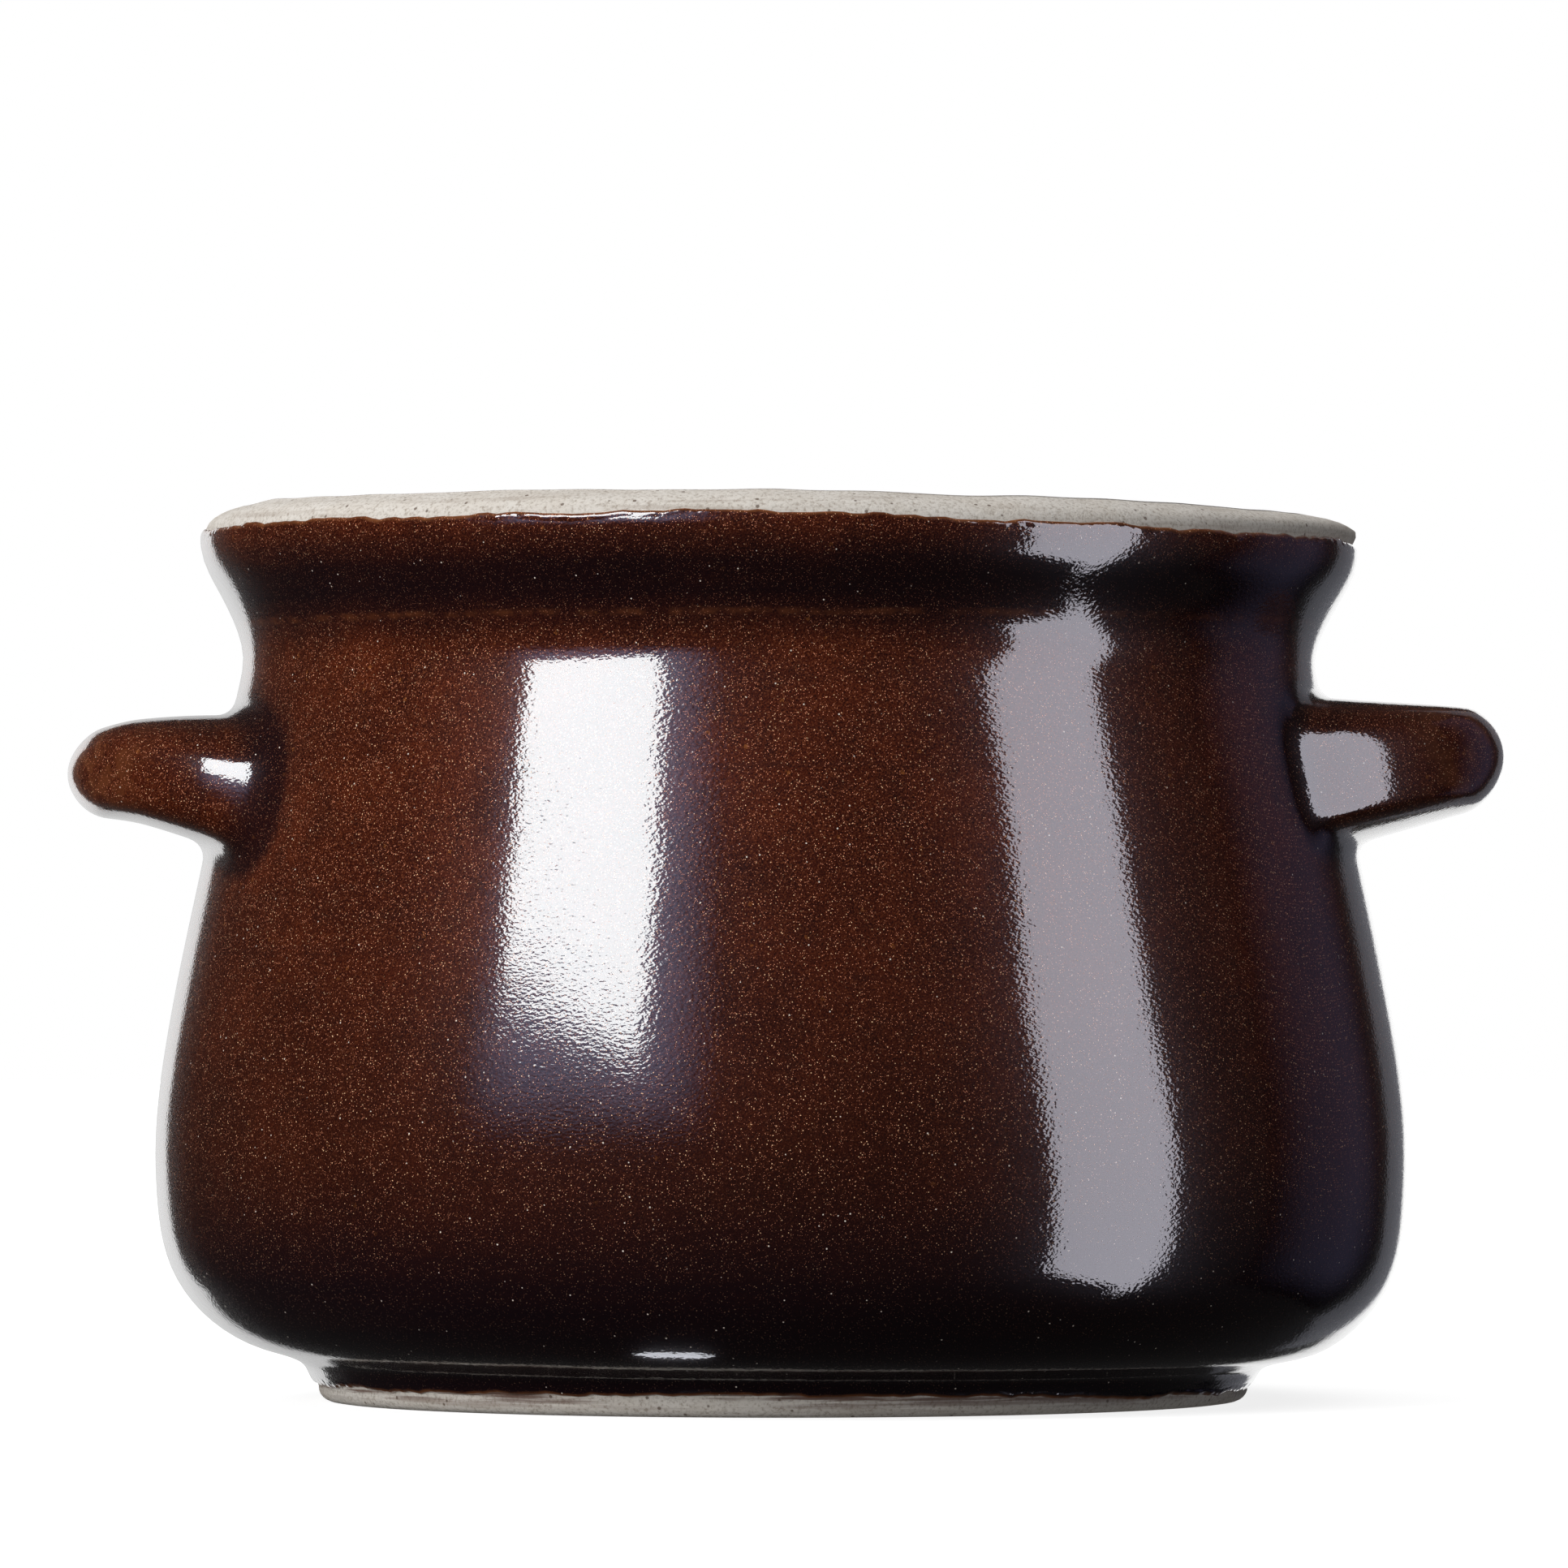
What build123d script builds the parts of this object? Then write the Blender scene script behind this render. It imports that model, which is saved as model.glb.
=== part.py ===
from build123d import *
import math
import os

# Stoneware pot with two solid ears, in millimetres, standing on its foot.
# The origin is under the middle of the foot, X runs from ear to ear and Z points up.

# Turned form, measured over the glaze
pot_height = 123.0
belly_diameter = 173.0
belly_height = 32.0
neck_inset = 12.4  # from the belly in to the neck
neck_drop = 21.0  # from the top of the lip down to the narrowest part of the neck
rim_flare = 5.9  # from the neck out to the rim
rim_drop = 4.6  # from the top of the lip down to the widest part of the rim
foot_inset = 21.1  # from the belly in to the foot
foot_height = 6.1
foot_taper = 1.2  # how far the foot draws in towards the table

# Clay wall, floor and foot ring
wall_thickness = 7.0
floor_thickness = 8.5
foot_ring_width = 10.0
foot_recess = 3.5
foot_edge_radius = 1.9
foot_inner_radius = 1.0
lip_outer_round = 3.2
lip_inner_round = 1.4

# Coats
glaze_thickness = 0.5
slip_thickness = 0.8
bare_lip_height = 3.4
bare_foot_height = 2.4

# Ears, measured over the glaze
handle_reach = 25.3  # from the neck out to the tip
handle_width = 66.0  # across the root
handle_flank_angle = 17.0  # how far the flanks lean in at the root, in degrees
handle_under_drop = 26.4  # from the neck's height down to the underside at the root
handle_under_rise = 6.8  # how much higher the underside is at the tip
handle_top_radius = 5.4
handle_under_radius = 3.2
handle_root_fillet = 2.6
left_handle_drop = 7.5  # from the neck's height down to the upper face at the root
left_handle_droop = 3.0  # how much lower the upper face is at the tip
right_handle_drop = 5.5
right_handle_droop = 1.2

# Places on the outline, as shares of the stretch that each one divides
shoulder_radius_shares = (0.823, 0.169)  # from the neck out to the belly
shoulder_height_shares = (0.304, 0.857)  # from the belly up to the neck
flare_radius_shares = (0.305, 0.780)  # from the neck out to the rim
flare_height_shares = (0.415, 0.732)  # from the neck up to the rim
bowl_radius_share = 0.801  # from the foot out to the belly
bowl_height_share = 0.313  # from the foot up to the belly
bowl_inset_share = math.sqrt(0.5)  # the bowl's turn faces down and out alike
floor_radius_share = 0.72  # flat floor within the inner belly
handle_start_share = 0.8  # where the ears' outline starts inside the neck

# Worked out from the sizes above
belly_radius = belly_diameter / 2
neck_radius = belly_radius - neck_inset
rim_radius = neck_radius + rim_flare
foot_radius = belly_radius - foot_inset
rim_height = pot_height - rim_drop
neck_height = pot_height - neck_drop
floor_height = foot_recess + floor_thickness
handle_tip = neck_radius + handle_reach
handle_start = neck_radius * handle_start_share
upright = (0, 1)
level = (1, 0)
quarter_turn = 90  # degrees

os.makedirs("parts", exist_ok=True)


def between(low, high, share):
    """The place that divides the stretch from low to high."""
    return low + (high - low) * share


def wall_curve(inset):
    """Draws the wall's outline from the belly up to the rim, this far inside the glazed face."""
    shoulder = [
        (between(neck_radius, belly_radius, r) - inset, between(belly_height, neck_height, z))
        for r, z in zip(shoulder_radius_shares, shoulder_height_shares)
    ]
    flare = [
        (between(neck_radius, rim_radius, r) - inset, between(neck_height, rim_height, z))
        for r, z in zip(flare_radius_shares, flare_height_shares)
    ]
    lean_in = (shoulder[1][0] - shoulder[0][0], shoulder[1][1] - shoulder[0][1])
    lean_out = (flare[1][0] - flare[0][0], flare[1][1] - flare[0][1])
    neck = (neck_radius - inset, neck_height)
    Spline((belly_radius - inset, belly_height), shoulder[0], tangents=(upright, lean_in))
    Line(shoulder[0], shoulder[1])
    Spline(shoulder[1], neck, flare[0], tangents=(lean_in, upright, lean_out))
    Line(flare[0], flare[1])
    Spline(flare[1], (rim_radius - inset, rim_height), tangents=(lean_out, upright))


def bowl_curve(inset):
    """Draws the outline of the foot's flank and of the bowl above it, up to the belly."""
    base = (foot_radius - foot_taper - inset, 0)
    crease = (foot_radius - inset, foot_height + inset)
    turn = (
        between(foot_radius, belly_radius, bowl_radius_share) - inset * bowl_inset_share,
        between(foot_height, belly_height, bowl_height_share) + inset * bowl_inset_share,
    )
    Line(base, crease)
    Spline(crease, turn, (belly_radius - inset, belly_height), tangents=(level, upright))


def lip_curve(inset):
    """Draws the outer rounding of the lip, from the widest part of the rim to the top."""
    middle = (rim_radius - inset - lip_outer_round, rim_height)
    EllipticalCenterArc(middle, lip_outer_round, rim_drop, start_angle=0, arc_size=quarter_turn)


def turned_form(inset):
    """The pot's turned form with its inside filled, this far inside the glazed face."""
    with BuildPart() as form:
        with BuildSketch(Plane.XZ):
            with BuildLine():
                bowl_curve(inset)
                wall_curve(inset)
                lip_curve(inset)
                Polyline(
                    (rim_radius - inset - lip_outer_round, pot_height),
                    (0, pot_height),
                    (0, 0),
                    (foot_radius - foot_taper - inset, 0),
                )
            make_face()
        revolve(axis=Axis.Z)
    return form.part


def hollow_form(inset):
    """The space inside the pot, with its wall and floor this far inside the glazed outer face."""
    inner_belly = belly_radius - inset
    floor_edge = inner_belly * floor_radius_share
    floor = floor_height + inset - wall_thickness
    with BuildPart() as form:
        with BuildSketch(Plane.XZ):
            with BuildLine():
                Line((0, floor), (floor_edge, floor))
                Spline((floor_edge, floor), (inner_belly, belly_height), tangents=(level, upright))
                wall_curve(inset)
                Polyline(
                    (rim_radius - inset, rim_height),
                    (rim_radius - inset, pot_height),
                    (0, pot_height),
                    (0, floor),
                )
            make_face()
        revolve(axis=Axis.Z)
    return form.part


def ear_form(side, drop, droop, inset):
    """One ear's form on the side given by its sign, run on into the pot, this far inside the glaze."""
    half_width = handle_width / 2 - inset
    tip = handle_tip - inset
    lean = math.radians(handle_flank_angle)
    along = math.cos(lean) * side
    across = math.sin(lean)
    top = neck_height - drop - inset
    under = neck_height - handle_under_drop + inset
    start_share = (handle_start - neck_radius) / (handle_tip - neck_radius)
    with BuildPart() as ear:
        with BuildSketch(Plane.XY):
            with BuildLine():
                flank = Spline(
                    (handle_start * side, -half_width),
                    (tip * side, 0),
                    (handle_start * side, half_width),
                    tangents=((along, across), (-along, across)),
                )
                Line(flank @ 1, flank @ 0)
            make_face()
        extrude(amount=pot_height)
        with BuildSketch(Plane.XZ):
            with BuildLine():
                Polyline(
                    (handle_start * side, between(under, under + handle_under_rise, start_share)),
                    (handle_tip * side, under + handle_under_rise),
                    (handle_tip * side, top - droop),
                    (handle_start * side, between(top, top - droop, start_share)),
                    close=True,
                )
            make_face()
        extrude(amount=handle_width, both=True, mode=Mode.INTERSECT)
        upper_edge = ear.faces().sort_by(Axis.Z)[-1].edges().filter_by(GeomType.LINE, reverse=True)
        fillet(upper_edge, handle_top_radius - inset)
        under_edge = ear.faces().sort_by(Axis.Z)[0].edges().filter_by(GeomType.LINE, reverse=True)
        fillet(under_edge, handle_under_radius - inset)
    return ear.part


# Forms that the pieces are cut from
glazed_wall = turned_form(0)
clay_wall = turned_form(glaze_thickness)
slip_face = turned_form(glaze_thickness - slip_thickness)
left_glazed_ear = ear_form(-1, left_handle_drop, left_handle_droop, 0)
left_ear = ear_form(-1, left_handle_drop, left_handle_droop, glaze_thickness)
right_glazed_ear = ear_form(1, right_handle_drop, right_handle_droop, 0)
right_ear = ear_form(1, right_handle_drop, right_handle_droop, glaze_thickness)
clay_hollow = hollow_form(wall_thickness)
glazed_hollow = hollow_form(wall_thickness + glaze_thickness)

# Turned clay body with its lip and its foot ring
with BuildPart() as stoneware_body:
    add(clay_wall)
    add(clay_hollow, mode=Mode.SUBTRACT)
    with BuildSketch(Plane.XY):
        Circle(foot_radius - foot_taper - glaze_thickness - foot_ring_width)
    extrude(amount=foot_recess, mode=Mode.SUBTRACT)
    foot_edges = stoneware_body.edges().group_by(Axis.Z)[0].sort_by(SortBy.RADIUS)
    fillet(foot_edges[-1], foot_edge_radius)
    fillet(foot_edges[0], foot_inner_radius)
    lip_edges = stoneware_body.edges().group_by(Axis.Z)[-1].sort_by(SortBy.RADIUS)
    fillet(lip_edges[0], lip_inner_round)
stoneware_body.part.label = "stoneware_body"
export_step(stoneware_body.part, "parts/stoneware_body.step")

# Glaze over the wall and the ears, pooled at the ears' roots and wiped off the lip and the foot
with BuildPart() as outer_glaze:
    add(glazed_wall)
    add([left_glazed_ear, right_glazed_ear])
    root_edges = outer_glaze.edges(Select.NEW)
    fillet(root_edges, handle_root_fillet)
    add([clay_wall, left_ear, right_ear], mode=Mode.SUBTRACT)
    split(bisect_by=Plane.XY.offset(pot_height - bare_lip_height), keep=Keep.BOTTOM)
    split(bisect_by=Plane.XY.offset(bare_foot_height), keep=Keep.TOP)
outer_glaze.part.label = "outer_glaze"
export_step(outer_glaze.part, "parts/outer_glaze.step")

# Glaze lining, down from the same distance below the lip
with BuildPart() as inner_glaze:
    add(clay_hollow)
    add(glazed_hollow, mode=Mode.SUBTRACT)
    split(bisect_by=Plane.XY.offset(pot_height - bare_lip_height), keep=Keep.BOTTOM)
inner_glaze.part.label = "inner_glaze"
export_step(inner_glaze.part, "parts/inner_glaze.step")

# Each ear, seated on a layer of slip
for name, ear in (("left_handle", left_ear), ("right_handle", right_ear)):
    with BuildPart() as handle:
        add(ear)
        add(slip_face, mode=Mode.SUBTRACT)
    handle.part.label = name
    export_step(handle.part, f"parts/{name}.step")
    with BuildPart() as slip:
        add(ear)
        add(slip_face, mode=Mode.INTERSECT)
        add(clay_wall, mode=Mode.SUBTRACT)
    slip.part.label = f"{name}_slip"
    export_step(slip.part, f"parts/{name}_slip.step")
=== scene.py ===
import math

import bmesh
import bpy
import numpy as np
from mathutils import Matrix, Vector


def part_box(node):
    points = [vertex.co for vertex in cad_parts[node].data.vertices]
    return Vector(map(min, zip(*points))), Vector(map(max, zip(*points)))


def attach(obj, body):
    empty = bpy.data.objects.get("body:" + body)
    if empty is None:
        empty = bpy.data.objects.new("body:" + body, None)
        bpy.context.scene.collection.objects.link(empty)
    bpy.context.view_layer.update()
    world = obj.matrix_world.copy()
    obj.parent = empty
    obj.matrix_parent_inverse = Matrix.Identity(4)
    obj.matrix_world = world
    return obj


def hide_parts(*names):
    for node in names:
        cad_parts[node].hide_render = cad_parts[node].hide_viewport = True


# Glazed stoneware pot with two ears. Shapes are worked out in millimetres and stored in metres.
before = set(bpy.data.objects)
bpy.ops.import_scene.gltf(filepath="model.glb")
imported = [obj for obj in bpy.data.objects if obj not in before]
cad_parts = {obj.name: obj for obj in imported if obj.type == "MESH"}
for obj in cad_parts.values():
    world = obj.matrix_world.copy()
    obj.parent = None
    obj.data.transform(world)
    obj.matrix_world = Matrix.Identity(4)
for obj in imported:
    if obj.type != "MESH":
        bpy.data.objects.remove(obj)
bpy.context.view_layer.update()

# Sizes read from the frame
millimetre = 0.001
_, clay_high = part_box("stoneware_body")
coat_low, coat_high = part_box("outer_glaze")
lining_low, lining_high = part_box("inner_glaze")
belly_radius = coat_high.y / millimetre
pot_height = clay_high.z / millimetre
glaze_depth = (coat_high.y - clay_high.y) / millimetre
wall_thickness = belly_radius - lining_high.y / millimetre
floor_height = lining_low.z / millimetre
bare_lip = pot_height - lining_high.z / millimetre
bare_foot = coat_low.z / millimetre

# The glazed face from the foot up over the lip: how far in from the belly, and how high
outline_points = (
    (22.4, 0.0),
    (21.8, 2.0),
    (21.05, 3.4),
    (20.3, 4.6),
    (18.9, 5.4),
    (13.7, 6.85),
    (7.25, 10.7),
    (2.5, 17.0),
    (0.25, 28.0),
    (0.05, 35.0),
    (2.2, 53.3),
    (6.8, 75.7),
    (10.66, 93.4),
    (11.86, 98.6),
    (12.4, 102.2),
    (11.2, 107.1),
    (8.95, 111.6),
    (7.0, 115.6),
    (6.5, 118.2),
    (6.85, 120.2),
    (8.6, 121.75),
    (10.6, 122.6),
    (12.0, pot_height),
)

# Inside, lip and foot ring
rim_height = 118.4
belly_height = 32.0
lip_inner_round = 1.4
foot_ring = 10.0
foot_recess = 3.5
foot_round = 1.9
recess_corner = 0.8
recess_corner_drop = 0.6
ring_edge = 1.0
ring_edge_height = 0.8
ring_lean = 0.2
floor_flat_share = 0.72

# Skins of glaze: how they thin out, reach into the clay and follow the waves of their edges
run_out_width = 1.1
edge_sink = 0.05
skin_overlap = 0.08
edge_fade = 7
lining_lift = 8
lining_turn = 1.7

# Edges of the glaze: how far they run up or down, and where, in degrees to the right of the front
lip_edge_lift = 0.2
lip_run_down = 0.35
lip_run_down_turn = 32
lip_run_down_width = 18
lip_run_up = 0.55
lip_run_up_turn = 0
lip_run_up_width = 25
foot_edge_drop = 0.1
foot_run_up = 0.5
foot_run_up_turn = -5
foot_run_up_width = 24
foot_run_down = 0.8
foot_run_down_turns = (12, 60)
edge_wave = 0.22
short_wave_share = 0.6
lip_edge_seed = 3
foot_edge_seed = 5

# Unevenness of a pot made by hand, and the places between which each part comes or goes
lip_drop = 0.15
left_lip_lean = 0.0045
right_lip_lean = 0.019
lip_lean_heights = (92, 118)
bowl_lean = 0.010
bowl_lean_start = (2, 8)
bowl_lean_end = (14, 40)
right_lip_reach = 1.6
lip_reach_side = (40, 78)
lip_reach_start = (119.8, 121.6)
lip_reach_end = (122.4, 123)
belly_shift = 0.3
belly_shift_end = (78, 98)
foot_shift = 0.25
foot_shift_end = (5, 12)
lip_wave = 0.10
lip_wave_seed = 8
lip_wave_heights = (116, 122)
ripple_height = 0.011
ripple_seed = 12
ripple_count = 28
ripple_lengths = (9, 40)
ripple_full_length = 16

# Ears, seen from the front: the distance of the tip from the middle, and the section behind it
ears = {
    "left": {
        "side": -1, "tip": 98.6, "tip_height": 86.3,
        "crown": 0.9, "fall": 0.0, "bend": 0.0045,
        "half_height": 5.25, "swell": 0.19, "nose": 5.3,
        "plan_power": 2.2, "top_power": 3.2, "sag": 0.12,
        "ridge": 0.1, "fillet": 7.4, "taper": 0.035,
    },
    "right": {
        "side": 1, "tip": 100.2, "tip_height": 89.0,
        "crown": 0.0, "fall": 0.112, "bend": 0.0,
        "half_height": 6.35, "swell": 0.173, "nose": 5.7,
        "plan_power": 1.5, "top_power": 5.0, "sag": 0.35,
        "ridge": 0.3, "fillet": 5.2, "taper": 0.06,
    },
}
ear_start = 59.3
ear_half_width = 37.5
ear_crown_length = 11
ear_settled_length = 9
ear_under_power = 5.0
round_power = 2
ear_least_fillet = 2.6
ear_clay_gap = 0.12
ear_seat_depth = 0.8

# Pooling of the glaze round an ear's root: 1 in the crease, 0 on the wall and -1 on the ear's bulge
wall_pool = 0.5
wall_pool_start = 0.55
crease_fade = 0.6
crease_place = 0.35
ear_pool = 0.45
ear_pool_end = 0.25
bulge_shares = (0.1, 0.6)

# Distance from the edges of the glaze, as marked on points far from them
ear_edge_gap = 20.0
floor_edge_gap = 90.0

# Mesh fineness
outline_steps = 6000
columns = 360
ear_columns = 36
ear_low = 67.0
ear_high = 106.0
ear_rows = 32
edge_rows = (0, 0.12, 0.3, 0.55, 0.85, 1.25, 1.8)
crease_start = 2.3
crease_end = 9.0
crease_rows = 14
bowl_rows = 36
flare_stop = 2.5
flare_rows = 7
blend_rings = 5
fillet_rings = 6
ear_rings = 26
ear_corner = math.radians(55)
inner_wall_rows = 60
inner_bowl_rows = 23
inner_floor_rows = 12
outer_rows = 130
round_rows = 6
recess_row_shares = (0.35, 0.7)
ear_clay_columns = 96
ear_clay_rings = 21
seat_rings = 5


def ease(low, high, value):
    """Rises smoothly from 0 at low to 1 at high."""
    share = np.clip((value - low) / (high - low), 0, 1)
    return share * share * (3 - 2 * share)


def hump(turn, middle, width):
    """A smooth hump, 1 high."""
    return np.exp(-(((turn - middle) / width) ** 2))


def wobble(angle, seed, waves):
    """A repeatable uneven line round the pot, about 1 high, made of these counts of waves."""
    chance = np.random.default_rng(seed)
    line = np.zeros_like(angle)
    for count in waves:
        line += chance.normal() * np.sin(count * angle + chance.uniform(0, math.tau))
    return line / math.sqrt(len(waves))


def smooth_curve(points):
    """Closely spaced points on the smooth curve that passes through the given ones."""
    points = np.array(points, float)
    spans = np.hypot(*np.diff(points, axis=0).T)
    knots = np.concatenate(([0.0], np.cumsum(spans)))
    count = len(points)
    system = np.eye(count)
    target = np.zeros((count, 2))
    for knot in range(1, count - 1):
        before = spans[knot - 1]
        after = spans[knot]
        system[knot, knot - 1 : knot + 2] = before, 2 * (before + after), after
        step_before = points[knot] - points[knot - 1]
        step_after = points[knot + 1] - points[knot]
        target[knot] = 6 * step_after / after - 6 * step_before / before
    bend = np.linalg.solve(system, target)
    along = np.linspace(0, knots[-1], outline_steps)
    knot = np.clip(np.searchsorted(knots, along, side="right") - 1, 0, count - 2)
    span = spans[knot][:, None]
    ahead = (knots[knot + 1] - along)[:, None]
    behind = (along - knots[knot])[:, None]
    start = points[knot] / span - bend[knot] * span / 6
    end = points[knot + 1] / span - bend[knot + 1] * span / 6
    curl = (bend[knot] * ahead**3 + bend[knot + 1] * behind**3) / (6 * span)
    return curl + start * ahead + end * behind


class Outline:
    """A turned face's outline, looked up by the distance along it."""

    def __init__(self, fine):
        step = np.diff(fine, axis=0)
        self.along = np.concatenate(([0.0], np.cumsum(np.hypot(*step.T))))
        self.radius, self.height = fine.T
        slope = np.gradient(fine, self.along, axis=0)
        slope /= np.hypot(*slope.T)[:, None]
        self.out = slope[:, 1]
        self.up = -slope[:, 0]

    def at(self, along):
        """Radius and height at a distance along."""
        radius = np.interp(along, self.along, self.radius)
        height = np.interp(along, self.along, self.height)
        return radius, height

    def facing(self, along):
        """How far the face looks outward and upward at a distance along."""
        out = np.interp(along, self.along, self.out)
        up = np.interp(along, self.along, self.up)
        return out, up

    def reach(self, height):
        """The distance along at which the face has this height."""
        return np.interp(height, self.height, self.along)

    def radius_at(self, height):
        """The face's radius at this height."""
        return np.interp(height, self.height, self.radius)


face_points = [(belly_radius - inward, height) for inward, height in outline_points]
glazed_face = Outline(smooth_curve(face_points))
round_angles = np.arange(columns) * math.tau / columns


def from_front(angle):
    """Degrees to the right of the middle of the front."""
    return (np.degrees(angle) + 270) % 360 - 180


def rough_edge(angle, seed, long_waves, short_waves):
    """The roughness of an edge of the glaze: long waves with short ones on them."""
    rough = wobble(angle, seed, long_waves) + short_wave_share * wobble(angle, seed + 1, short_waves)
    return edge_wave * rough


def lip_line(angle):
    """How far below the top of the lip the glaze ends."""
    turn = from_front(angle)
    down = lip_run_down * hump(turn, lip_run_down_turn, lip_run_down_width)
    up = lip_run_up * hump(turn, lip_run_up_turn, lip_run_up_width)
    rough = rough_edge(angle, lip_edge_seed, range(9, 40, 3), range(45, 150, 7))
    return bare_lip - lip_edge_lift + (down - up) + rough


def foot_line(angle):
    """How far above the table the glaze ends."""
    turn = from_front(angle)
    up = foot_run_up * hump(turn, foot_run_up_turn, foot_run_up_width)
    down = foot_run_down * ease(*foot_run_down_turns, turn)
    rough = rough_edge(angle, foot_edge_seed, range(6, 30, 3), range(40, 140, 7))
    return bare_foot - foot_edge_drop + (up - down) + rough


def shaped(points):
    """The points with the lean and the waves that the potter's hands left."""
    x, y, z = points.T
    angle = np.arctan2(y, x)
    lip_lean = lip_drop + np.where(x < 0, left_lip_lean, right_lip_lean) * x
    lean = lip_lean * ease(*lip_lean_heights, z)
    lean += bowl_lean * x * ease(*bowl_lean_start, z) * (1 - ease(*bowl_lean_end, z))
    wave = lip_wave * wobble(angle, lip_wave_seed, range(3, 40, 4)) * ease(*lip_wave_heights, z)
    reach = right_lip_reach * ease(*lip_reach_side, x)
    reach = reach * ease(*lip_reach_start, z) * (1 - ease(*lip_reach_end, z))
    shift = belly_shift * (1 - ease(*belly_shift_end, z)) + foot_shift * (1 - ease(*foot_shift_end, z))
    return np.column_stack((x + reach + shift, y, z - lean + wave))


def ripple(points):
    """Slight hollows and swells of the glazed face, about 1 high."""
    chance = np.random.default_rng(ripple_seed)
    height = np.zeros(len(points))
    for length in np.geomspace(*ripple_lengths, ripple_count):
        direction = chance.normal(size=3)
        direction *= math.tau / length / np.linalg.norm(direction)
        wave = np.sin(points @ direction + chance.uniform(0, math.tau))
        height += wave * length / ripple_full_length
    return height / math.sqrt(ripple_count)


class Shell:
    """Points and faces of a piece while it is made."""

    def __init__(self):
        self.points = np.zeros((0, 3))
        self.faces = []

    def add(self, points):
        """Adds points and returns their numbers."""
        start = len(self.points)
        self.points = np.vstack((self.points, points))
        return np.arange(start, len(self.points))

    def bridge(self, outer, inner, flip=False):
        """Faces between two closed rings, each running the same way round."""
        ahead_outer = np.roll(outer, -1)
        ahead_inner = np.roll(inner, -1)
        quads = np.column_stack((outer, ahead_outer, ahead_inner, inner))
        if flip:
            quads = quads[:, ::-1]
        self.faces += quads.tolist()

    def fan(self, ring, middle, flip=False):
        """Faces from a closed ring to one point."""
        following = np.roll(ring, -1)
        for here, ahead in zip(ring.tolist(), following.tolist()):
            self.faces.append((ahead, here, middle) if flip else (here, ahead, middle))


def make_piece(name, shell, material, nodes, marks=None):
    """Makes the Blender object of one piece, hangs it on the root and hides the parts it stands for."""
    used = sorted({corner for face in shell.faces for corner in face})
    number = np.full(len(shell.points), -1)
    number[used] = np.arange(len(used))
    faces = [[int(number[corner]) for corner in face] for face in shell.faces]
    mesh = bpy.data.meshes.new(name)
    mesh.from_pydata((shell.points[used] * millimetre).tolist(), [], faces)
    for mark, values in (marks or {}).items():
        attribute = mesh.attributes.new(mark, "FLOAT", "POINT")
        attribute.data.foreach_set("value", np.asarray(values, np.float32)[used])
    work = bmesh.new()
    work.from_mesh(mesh)
    bmesh.ops.recalc_face_normals(work, faces=work.faces)
    work.to_mesh(mesh)
    work.free()
    mesh.polygons.foreach_set("use_smooth", np.ones(len(mesh.polygons), bool))
    mesh.materials.append(material)
    piece = bpy.data.objects.new(name, mesh)
    bpy.context.scene.collection.objects.link(piece)
    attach(piece, "root")
    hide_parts(*nodes)


def ring_points(radius, height, angle=round_angles):
    """Points round the pot."""
    radius = np.broadcast_to(radius, angle.shape)
    height = np.broadcast_to(height, angle.shape)
    return np.column_stack((radius * np.cos(angle), radius * np.sin(angle), height))


def ear_section(ear, gap, inset):
    """Middle height, half width and half height of an ear's section, this far behind its tip."""
    tip = ear["tip"]
    middle = ear["tip_height"] + ear["crown"] * ease(0, ear_crown_length, gap)
    middle = middle - ear["fall"] * gap - ear["bend"] * gap**2
    rounding = np.sqrt(1 - (1 - np.clip(gap / ear["nose"], 0, 1)) ** 2)
    half_height = (ear["half_height"] + ear["swell"] * gap - inset) * rounding
    share = np.clip((tip - gap - ear_start) / (tip - ear_start), 0, 1)
    half_width = (ear_half_width - inset) * np.sqrt(1 - share ** ear["plan_power"])
    return middle, half_width, half_height


def ear_points(ear, gap, turn, inset=0.0):
    """Places on an ear's face, with X pointing out of the pot."""
    middle, half_width, half_height = ear_section(ear, gap, inset)
    settled = ease(0, ear_settled_length, gap)
    upper = np.sin(turn) > 0
    full_power = np.where(upper, ear["top_power"], ear_under_power)
    power = round_power + settled * (full_power - round_power)
    across = np.abs(np.cos(turn)) ** (round_power / power)
    away = np.abs(np.sin(turn)) ** (round_power / power)
    ridge = ear["ridge"] * half_height * settled
    above = (half_height + ridge) * away
    below = (half_height - ridge) * away * (1 - ear["sag"] * settled * across**2)
    narrowing = 1 - ear["taper"] * settled * np.where(upper, away, 0)
    x = ear["tip"] - inset - gap
    y = half_width * np.sign(np.cos(turn)) * across * narrowing
    z = middle - ridge + np.where(upper, above, -below)
    return np.column_stack((np.broadcast_to(x, turn.shape), y, z))


def ear_root(ear, turn, inset=0.0):
    """How far behind its tip each line along an ear meets the wall."""
    halvings = 40
    near = np.zeros_like(turn)
    far = np.full_like(turn, ear["tip"] - inset - ear_start)
    for _ in range(halvings):
        middle = (near + far) / 2
        place = ear_points(ear, middle, turn, inset)
        outside = np.hypot(place[:, 0], place[:, 1]) > glazed_face.radius_at(place[:, 2]) - inset
        near = np.where(outside, middle, near)
        far = np.where(outside, far, middle)
    return near


def wall_places(angle, along):
    """Points on the glazed wall, with the angle measured from the ear's side."""
    radius, height = glazed_face.at(along)
    return ring_points(radius, height, angle)


def evened(line, reach=7):
    """A closed line's values, each averaged with its neighbours."""
    return sum(np.roll(line, step) for step in range(-reach, reach + 1)) / (2 * reach + 1)


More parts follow.
